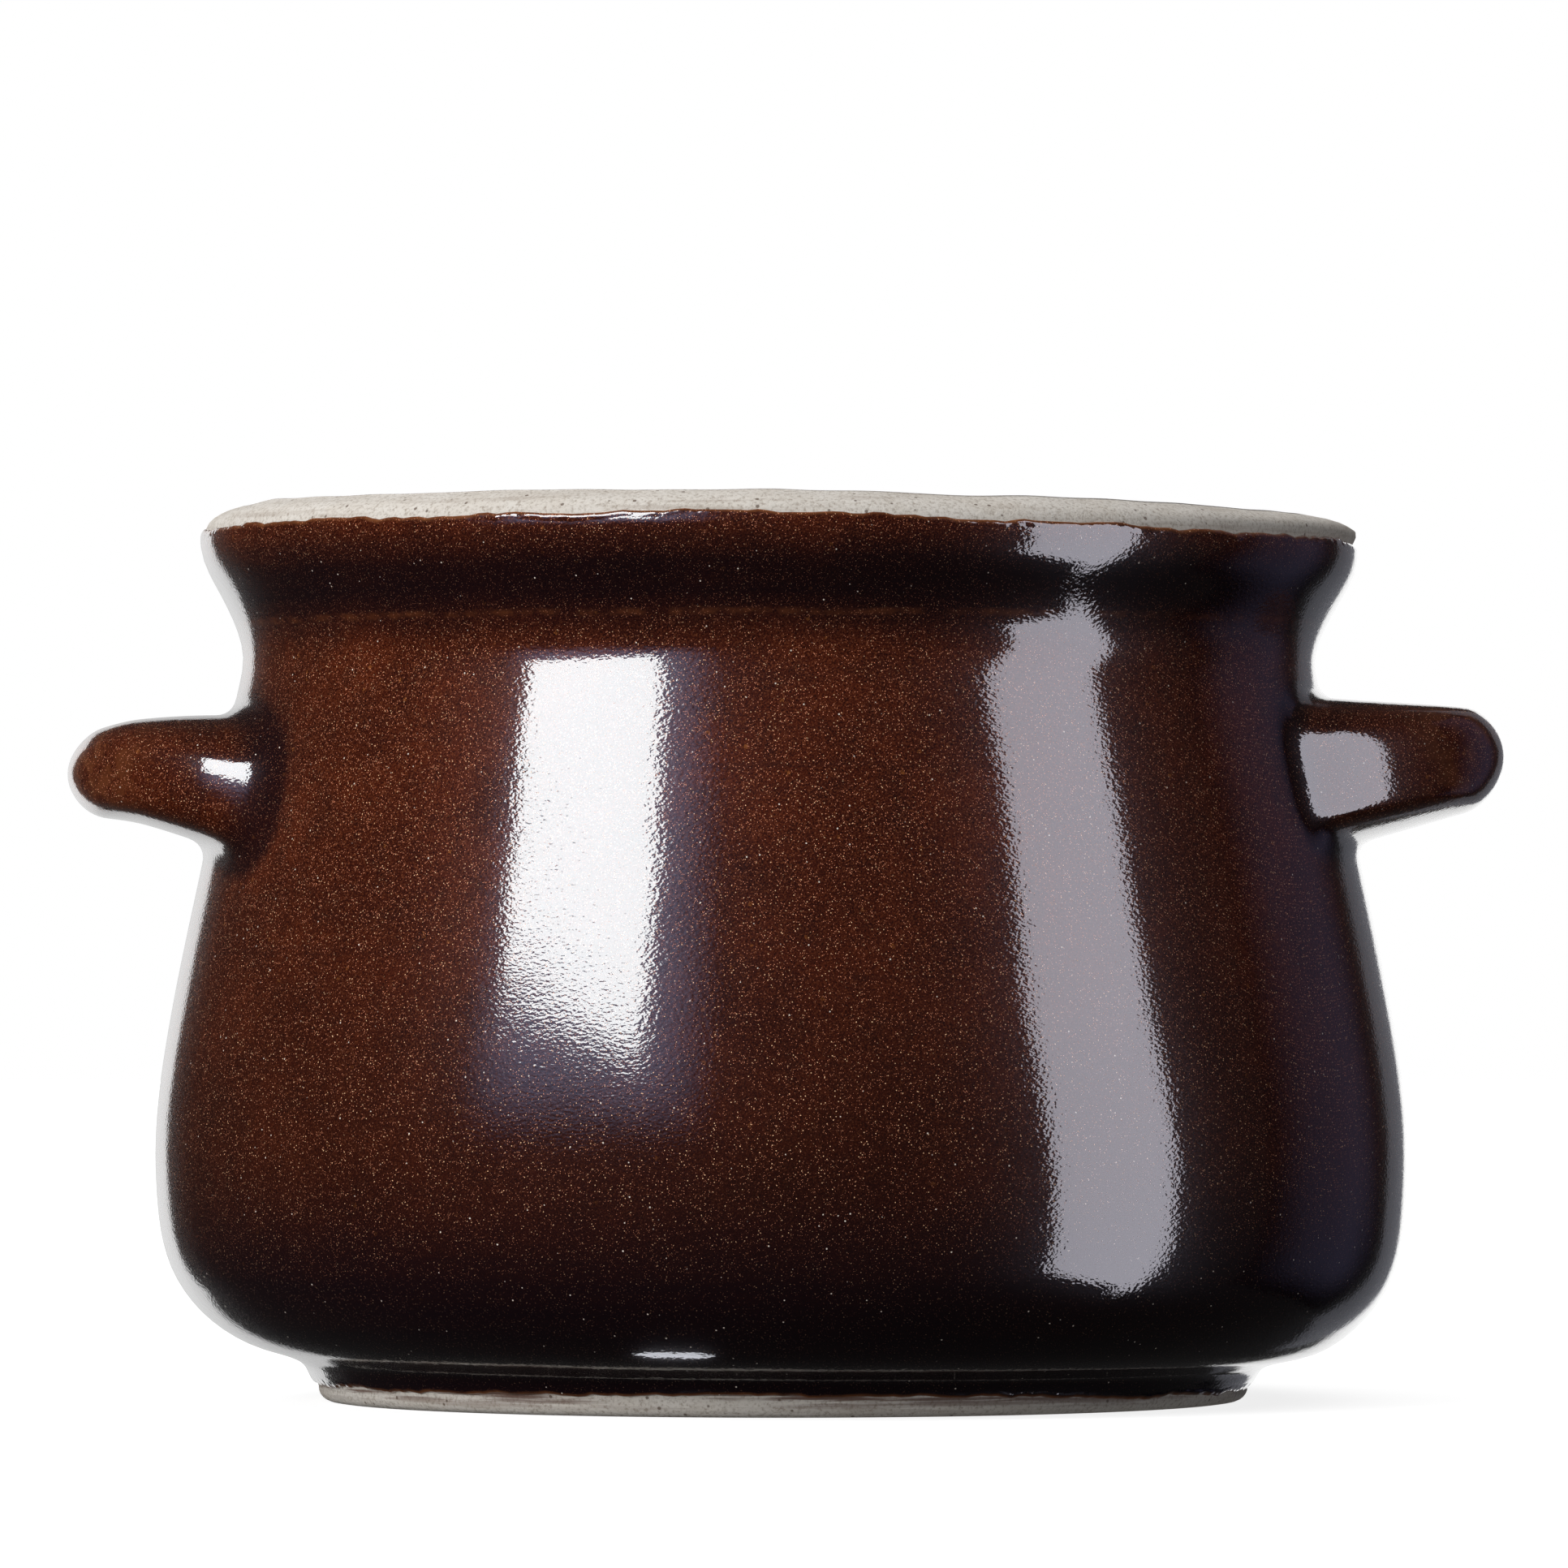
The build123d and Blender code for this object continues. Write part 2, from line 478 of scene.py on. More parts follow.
def ear_frame(ear, turn):
    """Lines round an ear: on its face, at its root and on the wall beside its fillet."""
    gap = ear_root(ear, turn)
    root = ear_points(ear, gap, turn)
    fillet = ear_least_fillet + (ear["fillet"] - ear_least_fillet) * np.cos(turn) ** 2
    face_gap = gap - fillet
    face = ear_points(ear, face_gap, turn)
    angle = np.arctan2(root[:, 1], root[:, 0])
    along = glazed_face.reach(root[:, 2])
    radius = np.hypot(root[:, 0], root[:, 1])
    flat = np.column_stack((angle * radius.mean(), along))
    run = np.roll(flat, -1, axis=0) - np.roll(flat, 1, axis=0)
    run /= np.hypot(*run.T)[:, None]
    away = np.column_stack((run[:, 1], -run[:, 0]))
    wall_angle = angle + fillet * away[:, 0] / radius.mean()
    wall_along = along + fillet * away[:, 1]
    return root, face_gap, face, evened(wall_angle), evened(wall_along)


def row_places():
    """Distances along the glazed face of the rows of the coat, and the rows beside the ears."""
    foot_end = glazed_face.reach(bare_foot)
    lip_end = glazed_face.reach(pot_height - bare_lip)
    low = glazed_face.reach(ear_low)
    high = glazed_face.reach(ear_high)
    edge = np.array(edge_rows)
    crease = np.linspace(foot_end + crease_start, foot_end + crease_end, crease_rows, endpoint=False)
    bowl = np.linspace(foot_end + crease_end, low, bowl_rows, endpoint=False)
    beside = np.linspace(low, high, ear_rows + 1)
    flare = np.linspace(high, lip_end - flare_stop, flare_rows + 1)[1:]
    rows = np.concatenate((foot_end + edge, crease, bowl, beside, flare, lip_end - edge[::-1]))
    first = len(edge) + len(crease) + len(bowl)
    return rows, first, first + ear_rows


def coat_wall(shell, marks):
    """The coat's wall, open where the ears are. Returns its point numbers and rows."""
    rows, first, last = row_places()
    foot_end = rows[0]
    lip_end = rows[-1]
    foot_rise = foot_line(round_angles) - bare_foot
    lip_rise = bare_lip - lip_line(round_angles)
    numbers = np.zeros((len(rows), columns), int)
    for row, along in enumerate(rows):
        shift = foot_rise * (1 - ease(0, edge_fade, along - foot_end))
        shift = shift + lip_rise * (1 - ease(0, edge_fade, lip_end - along))
        numbers[row] = shell.add(ring_points(*glazed_face.at(along + shift)))
        from_foot = along + shift - foot_end - foot_rise
        from_lip = lip_end + lip_rise - along - shift
        marks["edge"].append(np.minimum(from_foot, from_lip))
        marks["root"].append(np.zeros(columns))
    place = np.arange(columns)
    from_ear = np.minimum(place, columns - place)
    from_ear = np.minimum(from_ear, np.abs(place - columns // 2))
    beside = from_ear <= ear_columns
    for row in range(len(rows) - 1):
        lower = numbers[row]
        upper = numbers[row + 1]
        for column in range(columns):
            ahead = (column + 1) % columns
            if first <= row < last and beside[column] and beside[ahead]:
                continue
            shell.faces.append((lower[column], lower[ahead], upper[ahead], upper[column]))
    return numbers, rows, first, last


def hole_rim(numbers, rows, first, last, side):
    """The points round one opening of the wall: their numbers, angles, distances along and turns."""
    wide = np.arange(-ear_columns, ear_columns + 1)
    tall = np.arange(first, last + 1)
    corner = np.degrees(ear_corner)
    sides = (
        (tall[:-1], np.full(len(tall) - 1, ear_columns), -corner, corner),
        (np.full(len(wide) - 1, last), wide[:0:-1], corner, 180 - corner),
        (tall[:0:-1], np.full(len(tall) - 1, -ear_columns), 180 - corner, 180 + corner),
        (np.full(len(wide) - 1, first), wide[:-1], 180 + corner, 360 - corner),
    )
    row = np.concatenate([part[0] for part in sides])
    column = np.concatenate([part[1] for part in sides])
    turns = [np.linspace(start, end, len(part), endpoint=False) for part, _, start, end in sides]
    turn = np.radians(np.concatenate(turns))
    wall_column = column % columns if side > 0 else (columns // 2 - column) % columns
    return numbers[row, wall_column], column * math.tau / columns, rows[row], turn


def coat_ear(shell, marks, ear, rim):
    """One ear of the coat, joined to the opening of the wall by a fillet."""
    outer, rim_angle, rim_along, turn = rim
    side = np.array((ear["side"], 1, 1))
    flip = ear["side"] < 0
    root, face_gap, face, wall_angle, wall_along = ear_frame(ear, turn)
    count = len(turn)

    def ring(points, depth):
        """Adds the next ring and marks how deep the glaze pools there."""
        nonlocal outer
        inner = shell.add(points * side)
        marks["edge"].append(np.full(count, ear_edge_gap))
        marks["root"].append(np.broadcast_to(depth, count))
        shell.bridge(outer, inner, flip)
        outer = inner

    for share in np.linspace(0, 1, blend_rings + 1)[1:]:
        angle = rim_angle + (wall_angle - rim_angle) * share
        along = rim_along + (wall_along - rim_along) * share
        ring(wall_places(angle, along), wall_pool * ease(wall_pool_start, 1, share))
    foot = wall_places(wall_angle, wall_along)
    for share in np.linspace(0, 1, fillet_rings + 1)[1:]:
        bend = (1 - share) ** 2 * foot + 2 * share * (1 - share) * root + share**2 * face
        ring(bend, 1 - crease_fade * (2 * (share - crease_place)) ** 2)
    for share in np.linspace(0, 1, ear_rings + 1)[1:-1]:
        gap = face_gap * (1 - math.sin(share * math.pi / 2))
        pool = ear_pool * (1 - ease(0, ear_pool_end, share))
        ring(ear_points(ear, gap, turn), pool - ease(*bulge_shares, share))
    tip = shell.add(np.array([[ear["tip"], 0, ear["tip_height"]]]) * side)
    marks["edge"].append(np.array([ear_edge_gap]))
    marks["root"].append(np.array([-1.0]))
    shell.fan(outer, int(tip[0]), flip)


def point_normals(points, faces):
    """Each point's direction out of the face."""
    least_length = 1e-9
    normals = np.zeros_like(points)
    for size in (3, 4):
        group = np.array([face for face in faces if len(face) == size], int)
        corners = [points[group[:, corner]] for corner in range(size)]
        if size == 4:
            turned = np.cross(corners[2] - corners[0], corners[3] - corners[1])
        else:
            turned = np.cross(corners[1] - corners[0], corners[2] - corners[0])
        for corner in range(size):
            np.add.at(normals, group[:, corner], turned)
    length = np.maximum(np.linalg.norm(normals, axis=1), least_length)
    return normals / length[:, None]


def glaze_coat(material):
    """The outer glaze: a thin closed skin over the wall and both ears, run out at the lip and the foot."""
    shell = Shell()
    marks = {"edge": [], "root": []}
    numbers, rows, first, last = coat_wall(shell, marks)
    for ear in ears.values():
        coat_ear(shell, marks, ear, hole_rim(numbers, rows, first, last, ear["side"]))
    marks = {mark: np.concatenate(values) for mark, values in marks.items()}
    full = shell.points
    outward = point_normals(full, shell.faces)
    run_out = 1 - np.clip(marks["edge"] / run_out_width, 0, 1)
    lost = glaze_depth - glaze_depth * np.sqrt(1 - run_out**2) + edge_sink * run_out
    waves = ripple_height * ripple(full) * (1 - run_out)
    outer = full + outward * (waves - lost)[:, None]
    inner = full - outward * (glaze_depth + skin_overlap)
    count = len(full)
    shell.points = shaped(np.vstack((outer, inner)))
    shell.faces += [[corner + count for corner in reversed(face)] for face in shell.faces]
    shell.bridge(numbers[-1], numbers[-1] + count)
    shell.bridge(numbers[0] + count, numbers[0])
    marks = {mark: np.tile(values, 2) for mark, values in marks.items()}
    make_piece("glaze_coat", shell, material, ["outer_glaze"], marks)


def inner_outline(inset):
    """The inside from the lip down to the middle of the floor, this far inside the glazed face."""
    low = glazed_face.reach(belly_height)
    high = glazed_face.reach(rim_height)
    wall_radius, wall_height = glazed_face.at(np.linspace(high, low, inner_wall_rows))
    wall = np.column_stack((wall_radius - inset, wall_height))
    turn = np.linspace(0, math.pi / 2, inner_bowl_rows + 1)[1:]
    belly = wall[-1, 0]
    floor = floor_height + inset - wall_thickness
    flat = belly * floor_flat_share
    bowl_radius = flat + (belly - flat) * np.cos(turn)
    bowl_height = belly_height - (belly_height - floor) * np.sin(turn)
    bowl = np.column_stack((bowl_radius, bowl_height))
    floor_radius = np.linspace(flat, 0, inner_floor_rows + 2)[1:-1]
    bottom = np.column_stack((floor_radius, np.full(inner_floor_rows, floor)))
    return np.vstack((wall, bowl, bottom))


def quarter_round(size, rows):
    """Places on a rounded edge, from its flat to its side: how far from the side and from the flat."""
    turn = np.linspace(0, math.pi / 2, rows)
    return np.column_stack((size * (1 - np.sin(turn)), size * (1 - np.cos(turn))))


def outer_outline():
    """The clay's outside under the glaze, from the foot's rounded edge up to the top of the lip."""
    along = np.linspace(glazed_face.reach(foot_round), glazed_face.along[-1], outer_rows)
    radius, height = glazed_face.at(along)
    out, up = glazed_face.facing(along)
    lowered = glaze_depth * np.where(height > rim_height, 0, up)
    return np.column_stack((radius - glaze_depth * out, height - lowered))


def under_outline(foot_outer):
    """The underside from near its middle over the recess to the flat of the foot ring."""
    ring_inner = foot_outer - foot_ring
    recess = [(ring_inner * share, foot_recess) for share in recess_row_shares]
    corner = [
        (ring_inner - recess_corner, foot_recess),
        (ring_inner, foot_recess - recess_corner_drop),
        (ring_inner + ring_lean, ring_edge_height),
        (ring_inner + ring_edge, 0.0),
    ]
    return np.array(recess + corner)


def clay_body(material):
    """The turned clay: foot ring, wall, lip and inside, one closed skin."""
    outer = outer_outline()
    inside = inner_outline(wall_thickness)
    foot_outer = outer[0, 0]
    edge = (foot_outer, 0) + quarter_round(foot_round, round_rows + 1)[:-1] * (-1, 1)
    lip = (inside[0, 0], pot_height) + quarter_round(lip_inner_round, round_rows) * (1, -1)
    section = np.vstack((under_outline(foot_outer), edge, outer, lip, inside))
    shell = Shell()
    rings = [shell.add(ring_points(radius, height)) for radius, height in section]
    for lower, upper in zip(rings, rings[1:]):
        shell.bridge(lower, upper)
    under_middle = shell.add(np.array([[0, 0, foot_recess]]))
    floor_middle = shell.add(np.array([[0, 0, inside[-1, 1]]]))
    shell.fan(rings[0], int(under_middle[0]), True)
    shell.fan(rings[-1], int(floor_middle[0]))
    shell.points = shaped(shell.points)
    make_piece("clay_body", shell, material, ["stoneware_body"])


def glaze_lining(material):
    """The inner glaze: a thin closed skin from below the lip to the floor."""
    shell = Shell()
    skins = []
    edge = []
    line = pot_height - lip_line(round_angles + lining_turn)
    for inset in (wall_thickness - skin_overlap, wall_thickness + glaze_depth):
        section = inner_outline(inset)
        rings = []
        for radius, height in section:
            lift = np.interp(height, (rim_height - lining_lift, rim_height), (0, 1))
            lifted = height + lift * (line - rim_height)
            gap = np.maximum(line - lifted, 0)
            run_out = 1 - np.clip(gap / run_out_width, 0, 1)
            lost = (inset > wall_thickness) * (glaze_depth + edge_sink) * run_out**2
            rings.append(shell.add(ring_points(radius + lost, lifted)))
            edge.append(gap)
        middle = shell.add(np.array([[0, 0, section[-1, 1]]]))
        edge.append(np.array([floor_edge_gap]))
        skins.append((rings, int(middle[0])))
    (back, back_middle), (front, front_middle) = skins
    for rings in (back, front):
        for upper, lower in zip(rings, rings[1:]):
            shell.bridge(upper, lower, rings is front)
    shell.fan(back[-1], back_middle)
    shell.fan(front[-1], front_middle, True)
    shell.bridge(back[0], front[0], True)
    shell.points = shaped(shell.points)
    edge = np.concatenate(edge)
    marks = {"edge": edge, "root": np.zeros_like(edge)}
    make_piece("glaze_lining", shell, material, ["inner_glaze"], marks)


def clay_ear(name, ear, material):
    """The clay of one ear under its glaze, with its seat on the wall."""
    inset = glaze_depth + ear_clay_gap
    side = np.array((ear["side"], 1, 1))
    flip = ear["side"] < 0
    turn = np.arange(ear_clay_columns) * math.tau / ear_clay_columns
    gap = ear_root(ear, turn, inset)
    root = ear_points(ear, gap, turn, inset)
    angle = np.arctan2(root[:, 1], root[:, 0])
    height = root[:, 2]
    shell = Shell()
    rings = []
    for share in np.linspace(0, 1, ear_clay_rings + 1)[:-1]:
        ring_gap = gap * (1 - math.sin(share * math.pi / 2))
        rings.append(shell.add(ear_points(ear, ring_gap, turn, inset) * side))
    for outer, inner in zip(rings, rings[1:]):
        shell.bridge(outer, inner, flip)
    tip = shell.add(np.array([[ear["tip"] - inset, 0, ear["tip_height"]]]) * side)
    shell.fan(rings[-1], int(tip[0]), flip)
    seat = rings[0]
    middle_height = height.mean()
    for share in np.linspace(1, 0, seat_rings + 1)[:-1]:
        lifted = middle_height + (height - middle_height) * share
        radius = glazed_face.radius_at(lifted) - inset - ear_seat_depth
        inner = shell.add(ring_points(radius, lifted, angle * share) * side)
        shell.bridge(inner, seat, flip)
        seat = inner
    seat_radius = glazed_face.radius_at(middle_height) - inset - ear_seat_depth
    middle = shell.add(np.array([[seat_radius, 0, middle_height]]) * side)
    shell.fan(seat, int(middle[0]), not flip)
    shell.points = shaped(shell.points)
    nodes = [f"{name}_handle", f"{name}_handle_slip"]
    make_piece(f"{name}_ear_clay", shell, material, nodes)


class Nodes:
    """Adds and joins the nodes of a material or of the world."""

    def __init__(self, owner):
        owner.use_nodes = True
        self.tree = owner.node_tree
        self.tree.nodes.clear()

    def put(self, socket, value):
        """Joins a socket to another node's output, or sets it to a plain value."""
        if isinstance(value, bpy.types.NodeSocket):
            self.tree.links.new(value, socket)
        else:
            socket.default_value = value

    def add(self, kind, inputs=None, **settings):
        node = self.tree.nodes.new(kind)
        for name, value in settings.items():
            setattr(node, name, value)
        for name, value in (inputs or {}).items():
            self.put(node.inputs[name], value)
        return node

    def calc(self, operation, first, second=0.0):
        node = self.tree.nodes.new("ShaderNodeMath")
        node.operation = operation
        self.put(node.inputs[0], first)
        self.put(node.inputs[1], second)
        return node.outputs[0]

    def product(self, first, *others):
        """All the values multiplied with each other."""
        for other in others:
            first = self.calc("MULTIPLY", first, other)
        return first

    def rise(self, value, low, high, start=0.0, end=1.0):
        """Runs smoothly from start to end as the value goes from low to high."""
        inputs = {"Value": value, "From Min": low, "From Max": high, "To Min": start, "To Max": end}
        return self.add("ShaderNodeMapRange", inputs, interpolation_type="SMOOTHSTEP").outputs["Result"]

    def blend(self, share, first, second):
        """The first colour with this share of the second."""
        node = self.tree.nodes.new("ShaderNodeMix")
        node.data_type = "RGBA"
        sockets = {socket.identifier: socket for socket in node.inputs}
        self.put(sockets["Factor_Float"], share)
        self.put(sockets["A_Color"], first)
        self.put(sockets["B_Color"], second)
        return next(socket for socket in node.outputs if socket.identifier == "Result_Color")

    def noise(self, place, scale, detail=2.0, roughness=0.5):
        inputs = {"Vector": place, "Scale": scale, "Detail": detail, "Roughness": roughness}
        return self.add("ShaderNodeTexNoise", inputs).outputs["Fac"]

    def spots(self, place, scale, size, share, core=0.6):
        """Round spots in some of the cells: 1 in a spot's core and 0 outside it."""
        cells = self.add("ShaderNodeTexVoronoi", {"Vector": place, "Scale": scale})
        near = self.rise(cells.outputs["Distance"], size, size * core)
        pick = self.add("ShaderNodeSeparateColor", {"Color": cells.outputs["Color"]})
        chosen = self.calc("LESS_THAN", pick.outputs["Red"], share)
        return self.product(near, chosen)

    def turned(self, place, scale=(1, 1, 1)):
        """The place with its axes set askew, so that no layer of a pattern's cells lies along the wall."""
        askew = (math.atan(math.sqrt(2)), 0, math.pi / 4)
        inputs = {"Vector": place, "Scale": scale, "Rotation": askew}
        return self.add("ShaderNodeMapping", inputs).outputs["Vector"]

    def surface(self, shader):
        """Ends a material in this shader."""
        self.add("ShaderNodeOutputMaterial", {"Surface": shader.outputs[0]})

    def mark(self, name):
        """The marks of a piece's points."""
        return self.add("ShaderNodeAttribute", attribute_name=name).outputs["Fac"]


def colour(red, green, blue):
    return (red, green, blue, 1.0)


# Colours of the glaze
deep_brown = colour(0.041, 0.0059, 0.0017)
warm_brown = colour(0.068, 0.0107, 0.0028)
patch_brown = colour(0.026, 0.006, 0.0032)
dark_grain = colour(0.009, 0.002, 0.0012)
bright_grain = colour(0.2, 0.062, 0.024)
streak_brown = colour(0.026, 0.0062, 0.004)
amber_fleck = colour(0.26, 0.085, 0.02)
# Painted shade: the brown that the glaze darkens to lower down
painted_shade_brown = colour(0.014, 0.0036, 0.0022)
# Near black of pooled glaze, also used as painted shade on the flare and low bowl
pooled_and_shade_black = colour(0.0042, 0.0016, 0.003)
thin_amber = colour(0.12, 0.034, 0.011)
edge_amber = colour(0.19, 0.066, 0.022)
dust_amber = colour(0.95, 0.38, 0.22)
gold_speck = colour(0.95, 0.58, 0.34)
pale_speck = colour(0.75, 0.66, 0.58)
cool_gloss = colour(0.8, 0.85, 1.0)

# Heights between which the glaze changes, and how its patterns are stretched
# Heights over which painted shade darkens the glaze lower down
shade_top = 88
shade_bottom = 26
flare_start = (101, 110)
flare_end = (120, 112)
bowl_heights = (37, 13)
neck_line_start = (106.0, 106.7)
neck_line_end = (107.5, 106.8)
streak_scale = (14, 14, 520)
dimple_scale = (1, 1, 1.7)
glaze_relief_depth = 0.000014

# Colours and patterns of the clay
pale_clay = colour(0.59, 0.555, 0.51)
sandy_clay = colour(0.5, 0.45, 0.39)
sand_grain = colour(0.28, 0.235, 0.19)
streak_clay = colour(0.27, 0.215, 0.17)
smear_brown = colour(0.09, 0.035, 0.02)
iron_speck = colour(0.09, 0.055, 0.035)
clay_streak_scale = (40, 40, 1100)
smear_below = 1.9
smear_above = 0.4
smear_end = (12, 8)
clay_relief_depth = 0.00013


def glaze_ground(nodes, place, height, grain, patch, streak):
    """The brown of the glaze: cloudy, grainy and streaked, with flecks, and darker lower down as painted
    shade.
    """
    cloud = nodes.noise(place, scale=60, detail=4, roughness=0.6)
    brown = nodes.blend(nodes.rise(cloud, 0.35, 0.68), deep_brown, warm_brown)
    brown = nodes.blend(nodes.rise(patch, 0.4, 0.75, end=0.5), brown, patch_brown)
    brown = nodes.blend(nodes.rise(grain, 0.52, 0.34, end=0.85), brown, dark_grain)
    brown = nodes.blend(nodes.rise(grain, 0.52, 0.72, end=0.85), brown, bright_grain)
    brown = nodes.blend(nodes.rise(streak, 0.55, 0.75, end=0.35), brown, streak_brown)
    flecks = nodes.spots(place, scale=330, size=0.13, share=0.35)
    flecks = nodes.product(flecks, nodes.rise(grain, 0.4, 0.6), 0.7)
    brown = nodes.blend(flecks, brown, amber_fleck)
    # Painted shade: the brown darkens lower down
    return nodes.blend(nodes.rise(height, shade_top, shade_bottom, end=0.62), brown, painted_shade_brown)


def pooling_and_shade_share(nodes, height, root, streak):
    """How near black the glaze gets: from pooling at the ears' roots, and on the flare and low on the bowl
    partly from pooling and partly as painted shade.
    """
    # Painted shade, partly pooled glaze: the downward-facing flare and the low bowl
    flare = nodes.product(nodes.rise(height, *flare_start), nodes.rise(height, *flare_end), 0.9)
    bowl = nodes.product(nodes.rise(height, *bowl_heights), 0.96)
    pooled_and_shade = nodes.calc("MAXIMUM", flare, bowl)
    pooled_and_shade = nodes.calc("MAXIMUM", pooled_and_shade, nodes.rise(root, 0.1, 1.0, end=0.8))
    return nodes.product(pooled_and_shade, nodes.rise(streak, 0.3, 0.7, start=0.93))


def thin_glaze(nodes, brown, height, edge, root, patch):
    """The brown with amber where the glaze is thin: above the neck, on the ears and at its edges."""
    neck = nodes.product(nodes.rise(height, *neck_line_start), nodes.rise(height, *neck_line_end))
    neck = nodes.product(neck, nodes.rise(patch, 0.4, 0.65, end=0.5))
    bulge = nodes.product(nodes.rise(root, -0.1, -1.0), nodes.rise(patch, 0.42, 0.62, end=0.7))
    brown = nodes.blend(nodes.calc("MAXIMUM", neck, bulge), brown, thin_amber)
    run_out = nodes.rise(patch, 0.3, 0.6, start=0.45, end=0.95)
    run_out = nodes.product(nodes.rise(edge, 0.9, 0.1), run_out)
    return nodes.blend(run_out, brown, edge_amber)


def glaze_specks(nodes, brown, place, height, pooled_and_shade):
    """The brown with dust and gold specks where there is neither pooling nor painted shade, and a few pale
    specks.
    """
    clear = nodes.calc("SUBTRACT", 1.0, nodes.product(pooled_and_shade, 0.95))
    # Painted shade: fewer dust specks lower down
    lit = nodes.rise(height, shade_bottom, shade_top, start=0.55, end=0.95)
    dust = nodes.spots(place, scale=5400, size=0.33, share=0.21)
    brown = nodes.blend(nodes.product(dust, nodes.product(clear, lit)), brown, dust_amber)
    gold = nodes.spots(place, scale=2300, size=0.2, share=0.3)
    brown = nodes.blend(nodes.product(gold, nodes.product(clear, 0.9)), brown, gold_speck)
    pale = nodes.spots(place, scale=800, size=0.11, share=0.2)
    return nodes.blend(nodes.product(pale, 0.9), brown, pale_speck)


def glaze_relief(nodes, place, upright_place, edge):
    """The lie of the glaze's face: dimples, broad swells, and beads along its edges."""
    dimples = nodes.noise(nodes.turned(upright_place, dimple_scale), scale=1500, detail=1)
    swells = nodes.noise(place, scale=110, detail=2, roughness=0.4)
    relief = nodes.calc("ADD", nodes.product(dimples, 1.7), nodes.product(swells, 3.0))
    beads = nodes.noise(place, scale=400, detail=1)
    beads = nodes.product(beads, nodes.rise(edge, 1.3, 0.3, end=25))
    relief = nodes.calc("ADD", relief, beads)
    inputs = {"Height": relief, "Strength": 1.0, "Distance": glaze_relief_depth}
    return nodes.add("ShaderNodeBump", inputs).outputs["Normal"]


def glaze_material():
    """Glossy brown glaze: grainy, amber where thin, near black where it pools at the ears' roots and,
    partly as painted shade, on the flare and low bowl, darker lower down as painted shade, with gold
    specks.
    """
    material = bpy.data.materials.new("brown_glaze")
    nodes = Nodes(material)
    upright_place = nodes.add("ShaderNodeTexCoord").outputs["Object"]
    place = nodes.turned(upright_place)
    parts = nodes.add("ShaderNodeSeparateXYZ", {"Vector": upright_place})
    height = nodes.product(parts.outputs["Z"], 1 / millimetre)
    edge = nodes.mark("edge")
    root = nodes.mark("root")
    grain = nodes.noise(place, scale=4200, detail=3, roughness=0.7)
    patch = nodes.noise(place, scale=260, detail=3, roughness=0.6)
    streak = nodes.noise(nodes.turned(upright_place, streak_scale), scale=1, detail=3, roughness=0.6)
    pooled_and_shade = pooling_and_shade_share(nodes, height, root, streak)
    brown = glaze_ground(nodes, place, height, grain, patch, streak)
    # Near black: pooled glaze at the roots, and painted shade on the flare and low bowl
    brown = nodes.blend(pooled_and_shade, brown, pooled_and_shade_black)
    brown = thin_glaze(nodes, brown, height, edge, root, patch)
    brown = glaze_specks(nodes, brown, place, height, pooled_and_shade)
    normal = glaze_relief(nodes, place, upright_place, edge)
    gloss = nodes.add(
        "ShaderNodeBsdfPrincipled",
        {
            "Base Color": brown,
            "Roughness": 0.3,
            "IOR": 1.5,
            "Specular IOR Level": 0.06,
            "Specular Tint": cool_gloss,
            "Coat Weight": 1.0,
            "Coat Roughness": 0.05,
            "Coat IOR": 1.5,
            "Normal": normal,
            "Coat Normal": normal,
        },
    )
    nodes.surface(gloss)
    return material


def clay_material():
    """Bare fired stoneware: sandy and streaked, smeared brown below the foot's glaze, with iron specks."""
    material = bpy.data.materials.new("bare_clay")
    nodes = Nodes(material)
    place = nodes.add("ShaderNodeTexCoord").outputs["Object"]
    sand = nodes.noise(place, scale=1900, detail=4, roughness=0.7)
    cloud = nodes.noise(place, scale=150, detail=4, roughness=0.6)
    clay = nodes.blend(nodes.rise(cloud, 0.35, 0.7, end=0.5), pale_clay, sandy_clay)
    clay = nodes.blend(nodes.rise(sand, 0.55, 0.3, end=0.8), clay, sand_grain)
    squashed = nodes.add("ShaderNodeMapping", {"Vector": place, "Scale": clay_streak_scale})
    streak = nodes.noise(squashed.outputs["Vector"], scale=1, detail=3, roughness=0.6)
    clay = nodes.blend(nodes.rise(streak, 0.5, 0.72, end=0.4), clay, streak_clay)
    height = nodes.add("ShaderNodeSeparateXYZ", {"Vector": place}).outputs["Z"]
    smear_low = (bare_foot - smear_below) * millimetre
    smear_high = (bare_foot + smear_above) * millimetre
    smear_gone, smear_full = smear_end
    smear = nodes.rise(height, smear_low, smear_high)
    smear = nodes.product(smear, nodes.rise(height, smear_gone * millimetre, smear_full * millimetre))
    smear = nodes.product(smear, nodes.rise(streak, 0.44, 0.6, end=0.9))
    clay = nodes.blend(smear, clay, smear_brown)
    iron = nodes.spots(place, scale=620, size=0.2, share=0.3)
    clay = nodes.blend(nodes.product(iron, 0.8), clay, iron_speck)
    bump = nodes.add("ShaderNodeBump", {"Height": sand, "Strength": 1.0, "Distance": clay_relief_depth})
    matt = nodes.add(
        "ShaderNodeBsdfPrincipled",
        {
            "Base Color": clay,
            "Roughness": 0.85,
            "Specular IOR Level": 0.25,
            "Normal": bump.outputs["Normal"],
        },
    )
    nodes.surface(matt)
    return material


brown_glaze = glaze_material()
bare_clay = clay_material()
glaze_coat(brown_glaze)
glaze_lining(brown_glaze)
clay_body(bare_clay)
for ear_name, ear_shape in ears.items():
    clay_ear(ear_name, ear_shape, bare_clay)

